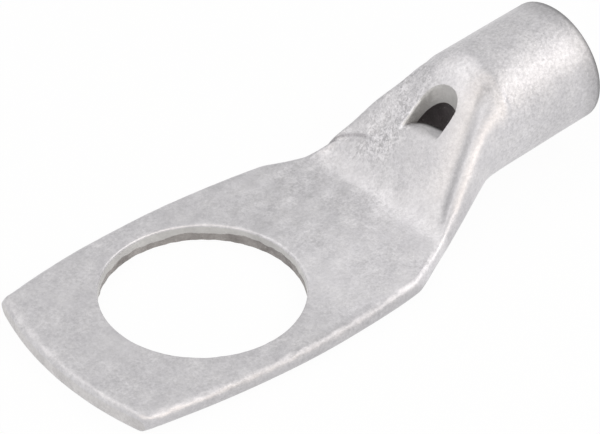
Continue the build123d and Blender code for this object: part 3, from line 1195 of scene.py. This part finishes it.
def grain_group() -> bpy.types.NodeTree:
    """Builds the grain of electroplated tin: broad clouds, fine crystals, pits and rare bright flecks.

    Returns:
        A node group with outputs Cloud, Crystal, Pit and Fleck, each from 0 to 1.
    """
    shader, place, ends = open_group("tin_grain", "Cloud", "Crystal", "Pit", "Fleck")
    cloud = shader.add("ShaderNodeTexNoise", Vector=place, Scale=0.55, Detail=4.0, Roughness=0.6)
    crystal = shader.add("ShaderNodeTexNoise", Vector=place, Scale=3.4, Detail=3.0, Roughness=0.75)
    pit = shader.add("ShaderNodeTexNoise", Vector=place, Scale=2.6, Detail=2.0, Roughness=0.7, Distortion=0.8)
    cells = shader.add("ShaderNodeTexVoronoi", {"feature": "F1"}, Vector=place, Scale=4.2, Randomness=1.0)
    lone = shader.add("ShaderNodeSeparateColor", Color=cells.outputs["Color"])
    rare = shader.remap(lone.outputs[0], 0.82, 1.0, 0.0, 1.0)
    small = shader.remap(cells.outputs["Distance"], 0.1, 0.42, 1.0, 0.0)
    shader.fill(ends.inputs["Cloud"], shader.remap(cloud.outputs[0], 0.3, 0.7, 0.0, 1.0))
    shader.fill(ends.inputs["Crystal"], shader.remap(crystal.outputs[0], 0.25, 0.75, 0.0, 1.0))
    shader.fill(ends.inputs["Pit"], shader.remap(pit.outputs[0], 0.38, 0.62, 0.0, 1.0))
    shader.fill(ends.inputs["Fleck"], shader.math("MULTIPLY", rare, small))
    return shader.tree


def scratch_group() -> bpy.types.NodeTree:
    """Builds fine handling scratches: thin bands of two stretched noises, broken up by a third.

    Returns:
        A node group with the output Mask, from 0 to 1.
    """
    shader, place, ends = open_group("handling_scratches", "Mask")
    masks = []
    for turn, scale in ((0.5, 1.3), (-0.9, 1.0)):
        lay = shader.add("ShaderNodeMapping", Vector=place, Rotation=(0.0, 0.0, turn), Scale=(0.16, 1.0, 1.0))
        noise = shader.add("ShaderNodeTexNoise", Vector=lay.outputs[0], Scale=scale, Detail=2.0, Distortion=0.6)
        off = shader.math("ABSOLUTE", shader.math("SUBTRACT", noise.outputs[0], 0.5))
        masks.append(shader.remap(off, 0.0, 0.006, 1.0, 0.0))
    broken = shader.add("ShaderNodeTexNoise", Vector=place, Scale=0.5, Detail=2.0)
    both = shader.math("MAXIMUM", masks[0], masks[1])
    kept = shader.remap(broken.outputs[0], 0.5, 0.68, 0.0, 1.0)
    shader.fill(ends.inputs["Mask"], shader.math("MULTIPLY", both, kept))
    return shader.tree


class TinMaterial:
    """Makes the tinned materials from their finishes and the shared node groups."""

    GRAIN_ATTRIBUTE = "grain"
    PIT_ATTRIBUTE = "pitted"
    TONE_ATTRIBUTE = "tone"

    def __init__(self) -> None:
        """Builds the shared groups once."""
        self.grain = grain_group()
        self.scratches = scratch_group()

    def make(self, finish: TinFinish) -> bpy.types.Material:
        """Builds one tinned material.

        Args:
            finish: Its colours, roughness and grain.

        Returns:
            The material.
        """
        material = bpy.data.materials.new(finish.name)
        shader = Shader.fresh(material)
        coordinates = shader.add("ShaderNodeTexCoord")
        place = shader.add("ShaderNodeMapping", Vector=coordinates.outputs["Object"], Scale=(1 / MM, 1 / MM, 1 / MM))
        grain = shader.add("ShaderNodeGroup", {"node_tree": self.grain}, Place=place.outputs[0])
        scratch = shader.add("ShaderNodeGroup", {"node_tree": self.scratches}, Place=place.outputs[0])
        amount, pitted, tone = (
            shader.add("ShaderNodeAttribute", {"attribute_name": name}).outputs["Fac"]
            for name in (self.GRAIN_ATTRIBUTE, self.PIT_ATTRIBUTE, self.TONE_ATTRIBUTE))

        cloud = grain.outputs["Cloud"]
        crystal = shader.swing(grain.outputs["Crystal"], amount)
        pit = shader.swing(grain.outputs["Pit"], pitted)
        fleck = shader.math("MULTIPLY", grain.outputs["Fleck"], amount)
        mark = shader.math("MULTIPLY", scratch.outputs["Mask"], 0.35 * finish.scratch)
        speckle = shader.math("ADD", shader.math("MULTIPLY", crystal, 0.42 * finish.grain),
                              shader.math("MULTIPLY", pit, 0.45))
        colour = shader.blend(cloud, finish.dull, finish.pale)
        colour = shader.scale(colour, shader.math("ADD", speckle, 1.0))
        colour = shader.blend(shader.math("MULTIPLY", fleck, 0.5), colour, (0.85, 0.84, 0.82, 1))
        colour = shader.blend(mark, colour, (0.42, 0.42, 0.43, 1))
        # The tone attribute scales the colour: painted highlights and painted shade, with random mottle.
        colour = shader.scale(colour, tone)

        rough = shader.math("ADD", shader.swing(cloud, finish.spread), finish.roughness)
        rough = shader.math("SUBTRACT", rough, shader.math("MULTIPLY", fleck, 0.18), clamp=True)
        height = shader.math("ADD", shader.math("MULTIPLY", crystal, 0.03 * finish.grain),
                             shader.math("MULTIPLY", pit, 0.05))
        height = shader.math("ADD", height, shader.math("MULTIPLY", fleck, 0.012))
        height = shader.math("SUBTRACT", height, shader.math("MULTIPLY", mark, 0.02))
        bump = shader.add("ShaderNodeBump", Strength=0.6, Distance=MM, Height=height)
        principled = shader.add("ShaderNodeBsdfPrincipled", Base_Color=colour, Roughness=rough,
                                Normal=bump.outputs[0], Metallic=finish.metallic)
        shader.add("ShaderNodeOutputMaterial", Surface=principled.outputs[0])
        return material


@dataclass(frozen=True)
class PaintedLightAndTone:
    """How much brighter or darker the plating is painted at each kind of place, as a share of its colour: painted
    highlights, painted shade, a brighter palm top and random mottle.
    """

    # brighter over the palm's top on its near side and at the ramp's foot
    palm_brightening: float = 0.17
    # painted highlight on the crown below the head
    crown: float = 0.11
    # painted highlight on the near ear's crest and flank
    flank: float = 0.09
    mottle: float = 0.035
    back_mottle: float = 0.05
    # painted highlight along the window's far edge
    painted_window_highlight: float = 0.35
    # painted shade near the barrel's mouth, darkest at its rim
    mouth: float = -0.23
    # painted shade in the valley along the near crease
    valley: float = -0.19
    # painted shade in a band beside the ramp's head
    head: float = -0.14
    # painted shade on the lower part of the palm's near side
    painted_side_shade: float = -0.12
    # painted shade that dims the highlight on the upper part of the palm's near edge
    rim: float = -0.14
    # painted shade on the tongue where it bends into the window
    tongue: float = -0.85


class CableLug:
    """The finished lug: the pressed tube with its hole and window cut, its finishes and its frame node."""

    SHARP_ANGLE = math.radians(38.0)
    LIP_BANDS = 2 * (PressedTube.LIP_ROWS - 1)

    def __init__(self, sizes: LugSizes) -> None:
        """Sets up the tube and its two tools.

        Args:
            sizes: The lug's sizes.
        """
        self.sizes = sizes
        self.tube = PressedTube(sizes)
        self.hole = BoltHole(sizes)
        self.window = InspectionWindow(sizes, self.tube)
        self.light_and_tone = PaintedLightAndTone()

    def build(self) -> bpy.types.Object:
        """Builds the mesh, cuts it, dresses it and ties it to the frame.

        Returns:
            The piece.
        """
        skin = self.tube.skin()
        kit = TinMaterial()
        materials = [kit.make(FINISHES[finish]) for finish in Finish]
        strip = np.arange(skin.tube.shape[0] - 1)[:, None]
        lip = np.where(strip < skin.outside_rows - self.LIP_BANDS, Finish.SKIN.value, Finish.TORN.value)
        patches = [
            Patch(skin.tube, True, np.where(strip < skin.outside_rows, lip, Finish.INSIDE.value)),
            Patch(skin.front, False, np.array([[Finish.SHEARED.value]])),
            Patch(skin.slit, False, np.array([[Finish.INSIDE.value]])),
        ]
        body = add_object("tinned_lug", mesh_from_patches("tinned_lug", patches, materials))
        for name, tool in (("hole_tool", self.hole), ("window_tool", self.window)):
            patch = Patch(tool.surface(), True, tool.finishes())
            self.cut(body, add_object(name, mesh_from_patches(name, [patch], materials, capped=True)))
        self.dress(body)
        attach(body, "root")
        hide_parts(NODE)
        return body

    @staticmethod
    def cut(body: bpy.types.Object, tool: bpy.types.Object) -> None:
        """Takes a tool's shape out of the body, and the tool out of the scene.

        Args:
            body: The object that is cut.
            tool: The closed shape that is taken out.
        """
        change = body.modifiers.new("cut", "BOOLEAN")
        change.operation = "DIFFERENCE"
        change.solver = "EXACT"
        change.object = tool
        bpy.context.view_layer.update()
        evaluated = body.evaluated_get(bpy.context.evaluated_depsgraph_get())
        cut_mesh = bpy.data.meshes.new_from_object(evaluated)
        body.modifiers.clear()
        old_mesh = body.data
        body.data = cut_mesh
        bpy.data.meshes.remove(old_mesh)
        tool_mesh = tool.data
        bpy.data.objects.remove(tool)
        bpy.data.meshes.remove(tool_mesh)

    def dress(self, body: bpy.types.Object) -> None:
        """Smooths the mesh and gives each point its grain, pits and tone.

        Args:
            body: The cut lug.
        """
        mesh = body.data
        points = np.empty(len(mesh.vertices) * 3)
        mesh.vertices.foreach_get("co", points)
        points = points.reshape(-1, 3) / MM
        mesh.shade_smooth()
        mesh.set_sharp_from_angle(angle=self.SHARP_ANGLE)
        shares = {
            TinMaterial.GRAIN_ATTRIBUTE: self.grain_of(points),
            TinMaterial.PIT_ATTRIBUTE: self.pits_of(points),
            TinMaterial.TONE_ATTRIBUTE: self.tone_of(points),
        }
        for name, values in shares.items():
            layer = mesh.attributes.new(name, "FLOAT", "POINT")
            layer.data.foreach_set("value", values.astype(np.float32))
        mesh.update()

    def grain_of(self, points: FloatArray) -> FloatArray:
        """Share of grain at each point: full on the barrel and the ears, less where the press flattened it.

        Args:
            points: Places in millimetres.

        Returns:
            Shares from 0 to 1.
        """
        sizes = self.sizes
        x, y = points[:, 0], points[:, 1]
        along = smooth_step(x, sizes.foot_x, sizes.head_x)
        patches = 0.5 + 0.5 * Ripple(1.0, 6.0, 9, 21).at(points)
        side = smooth_step(y, -1.0, 4.0)
        pressed = 0.35 + 0.4 * patches
        ramp = mix(pressed, 0.45 + 0.55 * side, along)
        barrel = smooth_step(x, sizes.head_x - 2.0, sizes.head_x + 1.0)
        return np.clip(mix(ramp, 0.75 + 0.25 * patches, barrel), 0.0, 1.0)

    def tone_of(self, points: FloatArray) -> FloatArray:
        """Brightness factor of the plating, mostly painted light and shade. It is brighter over the palm's top on the
        near side; painted highlights brighten the crown, the near flank and the window's far edge; painted shade
        darkens the mouth, the valley, the band beside the head, the palm's near edge and the tongue; and the palm
        is mottled at random.

        Args:
            points: Places in millimetres.

        Returns:
            Factors on the colour, one for each point.
        """
        sizes, light_and_tone = self.sizes, self.light_and_tone
        x, y, z = points.T
        on_palm = x < sizes.neck_x
        on_top = z > sizes.tube_radius
        # Brighter over the palm's top on the near side and at the ramp's foot.
        palm_brightening = band(x, 3.0, 9.0, sizes.foot_x - 0.8, sizes.foot_x + 1.0)
        palm_brightening = palm_brightening * band(-y, -4.0, 5.0, 10.0, 10.7) * (z > 0.8)
        # Painted shade near the barrel's mouth, darkest at its rim.
        along = x + z * sizes.slope
        from_mouth = along - along.max()
        mouth = smooth_step(from_mouth, -2.4, -0.5) + 1.6 * smooth_step(from_mouth, -0.4, -0.15)
        # Painted shade in the valley along the near crease.
        crease = -self.tube.crease_reach(self.tube.near_side, x)
        valley = self.tube.valley_share(x) * bell(y - crease, 0.4) * (z > sizes.palm_thickness)
        # Painted shade in a band beside the ramp's head.
        head = band(x, sizes.head_x - 1.6, sizes.head_x, sizes.head_x + 1.0, sizes.barrel_x + 2.0)
        head = head * bell(y + 2.7, 0.9) * on_top
        # Painted shade on the lower part of the palm's near side.
        painted_side_shade = smooth_step(-y, 9.6, 10.6) * (1 - smooth_step(z, 1.0, 1.5)) * on_palm
        # Painted shade dimming the highlight on the upper part of the palm's near edge.
        rim = smooth_step(-y, 10.2, 10.9) * smooth_step(z, 1.0, 1.35) * on_palm
        # Painted highlight on the crown.
        crown = band(x, sizes.head_x - 2.4, sizes.head_x - 1.2, sizes.head_x, sizes.barrel_x)
        crown = crown * bell(y, 2.4) * on_top
        # Painted highlight on the near ear's crest and flank.
        flank = band(x - sizes.foot_x, 2.95, 5.95, 10.95, 14.95) * smooth_step(-y, 4.7, 5.4)
        back = smooth_step(x, 7.0, 10.0) * smooth_step(y, -5.0, -1.0)
        mottled = (light_and_tone.mottle + light_and_tone.back_mottle * back) * Ripple(1.0, 1.7, 12, 27).at(points)
        mottled = mottled * (1 - smooth_step(x, sizes.foot_x, sizes.foot_x + 3.0))
        shares = (
            (light_and_tone.palm_brightening, palm_brightening), (light_and_tone.crown, crown), (light_and_tone.flank, flank), (light_and_tone.mouth, mouth),
            (light_and_tone.valley, valley), (light_and_tone.head, head), (light_and_tone.painted_side_shade, painted_side_shade), (light_and_tone.rim, rim),
            # Painted highlight on the window's far edge and painted shade on the tongue.
            (light_and_tone.painted_window_highlight, self.window.painted_rim_highlight(points)), (light_and_tone.tongue, self.window.painted_tongue_shade(points)))
        return 1 + mottled + sum(level * share for level, share in shares)

    def pits_of(self, points: FloatArray) -> FloatArray:
        """Share of pits at each point: most on the far side of the ramp, beside the window, and few elsewhere.

        Args:
            points: Places in millimetres.

        Returns:
            Shares from 0 to 1.
        """
        sizes = self.sizes
        x, y = points[:, 0], points[:, 1]
        along = band(x, sizes.foot_x, sizes.foot_x + 2.5, sizes.head_x - 2.0, sizes.head_x)
        beside = smooth_step(y, 0.6, 2.6) * (1 - 0.6 * smooth_step(y, 4.2, 6.0))
        patches = 0.6 + 0.4 * Ripple(1.0, 3.0, 9, 23).at(points)
        worn = band(x, 7.0, 12.0, sizes.foot_x - 1.0, sizes.foot_x + 3.0)
        spots = np.clip(0.5 + 0.8 * Ripple(1.0, 4.0, 9, 27).at(points), 0.0, 1.0)
        return np.clip(0.1 + 0.3 * worn * spots + 0.9 * along * beside * patches, 0.0, 1.0)


@dataclass(frozen=True)
class SoftLight:
    """A rectangular soft box: where it stands, the way that its width runs, its size, power and colour."""

    name: str
    place: tuple[float, float, float]
    across: tuple[float, float, float]
    size: tuple[float, float]
    power: float
    colour: tuple[float, float, float]


@dataclass(frozen=True)
class View:
    """The photograph's camera: its place, the point on the floor that it looks at, and its roll."""

    place: tuple[float, float, float] = (-96.117, -125.290, 128.618)
    target: tuple[float, float, float] = (13.640, 3.986, 0.0)
    roll: float = 0.7288
    focal_pixels: float = 2500.0
    image_width: float = 600.0
    sensor: float = 36.0


@dataclass
class Studio:
    """Floor, world, lamps and camera round the lug."""

    LIGHTS = (
        SoftLight("right_box", (193.0, -141.0, 209.0), (0.643, 0.766, 0.0), (280.0, 190.0), 0.15, (1.0, 0.96, 0.92)),
        SoftLight("left_box", (-70.0, 150.0, 245.0), (-0.866, -0.5, 0.0), (260.0, 170.0), 0.072, (1.0, 0.975, 0.95)),
        SoftLight("side_box", (24.0, -254.0, 162.0), (1.0, 0.0, 0.0), (170.0, 140.0), 0.075, (1.0, 0.87, 0.72)),
        SoftLight("front_box", (-142.0, -116.0, 233.0), (0.602, -0.799, 0.0), (380.0, 160.0), 0.115, (1.0, 0.89, 0.76)),
    )
    FLOOR_GAP = 0.02
    FLOOR_REACH = 4000.0
    FLOOR_SEEN = 0.95
    BEHIND = (0.204, 0.866, 0.458)
    BEHIND_LEVEL = 0.85
    LIT_LEVEL = 0.75
    AIM = (12.0, 0.0, 3.0)

    view: View

    def build(self) -> None:
        """Makes everything and sets the colour handling."""
        self.floor()
        self.world()
        for light in self.LIGHTS:
            self.lamp(light)
        self.camera()
        bpy.context.scene.view_settings.view_transform = "Standard"

    @staticmethod
    def seen_directly(shader: Shader) -> bpy.types.NodeSocket:
        """Light path test: 1 for what the camera sees, straight, mirrored or through glass."""
        path = shader.add("ShaderNodeLightPath")
        seen = shader.math("MAXIMUM", path.outputs["Is Camera Ray"], path.outputs["Is Glossy Ray"])
        return shader.math("MAXIMUM", seen, path.outputs["Is Transmission Ray"])

    def floor(self) -> bpy.types.Object:
        """A wide pale floor just under the lug, which stays white and keeps a soft shadow.

        Returns:
            The floor.
        """
        corners = np.array([[-1, -1], [1, -1], [1, 1], [-1, 1]]) * self.FLOOR_REACH
        points = np.column_stack([corners, np.full(4, -self.FLOOR_GAP)]) * MM
        mesh = bpy.data.meshes.new("floor")
        mesh.from_pydata(points.tolist(), [], [(0, 1, 2, 3)])
        floor = add_object("floor", mesh)
        material = bpy.data.materials.new("pale_floor")
        shader = Shader.fresh(material)
        diffuse = shader.add("ShaderNodeBsdfDiffuse", Color=(0.9, 0.9, 0.9, 1))
        glow = shader.add("ShaderNodeEmission", Color=(1, 1, 1, 1), Strength=1.0)
        share = shader.math("MULTIPLY", self.seen_directly(shader), self.FLOOR_SEEN)
        both = shader.add("ShaderNodeMixShader", Fac=share)
        shader.fill(both.inputs[1], diffuse.outputs[0])
        shader.fill(both.inputs[2], glow.outputs[0])
        shader.add("ShaderNodeOutputMaterial", Surface=both.outputs[0])
        mesh.materials.append(material)
        return floor

    def world(self) -> None:
        """White surroundings for what is seen, greyer in mirrored light from behind the lug, and a plainer level
        for what they light."""
        world = bpy.data.worlds.new("studio")
        bpy.context.scene.world = world
        shader = Shader.fresh(world)
        path = shader.add("ShaderNodeLightPath")
        way = shader.add("ShaderNodeTexCoord").outputs["Generated"]
        toward = shader.add("ShaderNodeVectorMath", {"operation": "DOT_PRODUCT"})
        shader.fill(toward.inputs[0], way)
        shader.fill(toward.inputs[1], self.BEHIND)
        behind = shader.remap(toward.outputs["Value"], 0.45, 0.9, 1.0, self.BEHIND_LEVEL)
        seen = self.seen_directly(shader)
        mirrored = shader.remap(path.outputs["Is Glossy Ray"], 0.0, 1.0, 1.0, 0.0)
        white = shader.math("MAXIMUM", behind, mirrored)
        strength = shader.math("MULTIPLY", shader.remap(seen, 0.0, 1.0, self.LIT_LEVEL, 1.0), white)
        back = shader.add("ShaderNodeBackground", Color=(1, 1, 1, 1), Strength=strength)
        shader.add("ShaderNodeOutputWorld", Surface=back.outputs[0])

    def lamp(self, light: SoftLight) -> bpy.types.Object:
        """Hangs a soft box that points at the lug.

        Args:
            light: The soft box.

        Returns:
            The lamp.
        """
        data = bpy.data.lights.new(light.name, "AREA")
        data.shape = "RECTANGLE"
        data.size, data.size_y = (side * MM for side in light.size)
        data.energy = light.power
        data.color = light.colour
        place = Vector(light.place) * MM
        back = (place - Vector(self.AIM) * MM).normalized()
        return stand(light.name, data, place, back.cross(Vector(light.across)).normalized(), back)

    def camera(self) -> bpy.types.Object:
        """Sets up the photograph's camera.

        Returns:
            The camera.
        """
        view = self.view
        data = bpy.data.cameras.new("photo_view")
        data.sensor_fit = "HORIZONTAL"
        data.sensor_width = view.sensor
        data.lens = view.focal_pixels / view.image_width * view.sensor
        data.clip_start = 0.01
        place = Vector(view.place) * MM
        forward = (Vector(view.target) * MM - place).normalized()
        right = forward.cross(Vector((0.0, 0.0, 1.0))).normalized()
        turn = math.radians(view.roll)
        up = right.cross(forward) * math.cos(turn) - right * math.sin(turn)
        camera = stand("photo_view", data, place, up, -forward)
        bpy.context.scene.camera = camera
        return camera


def main() -> None:
    """Builds the lug and its studio, and reports the piece."""
    logging.basicConfig(level=logging.INFO)
    sizes = LugSizes.from_frame(frame["record"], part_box(NODE))
    piece = CableLug(sizes).build()
    LOG.info("%s: %d points, %d faces", piece.name, len(piece.data.vertices), len(piece.data.polygons))
    Studio(View()).build()


if __name__ == "__main__":
    main()
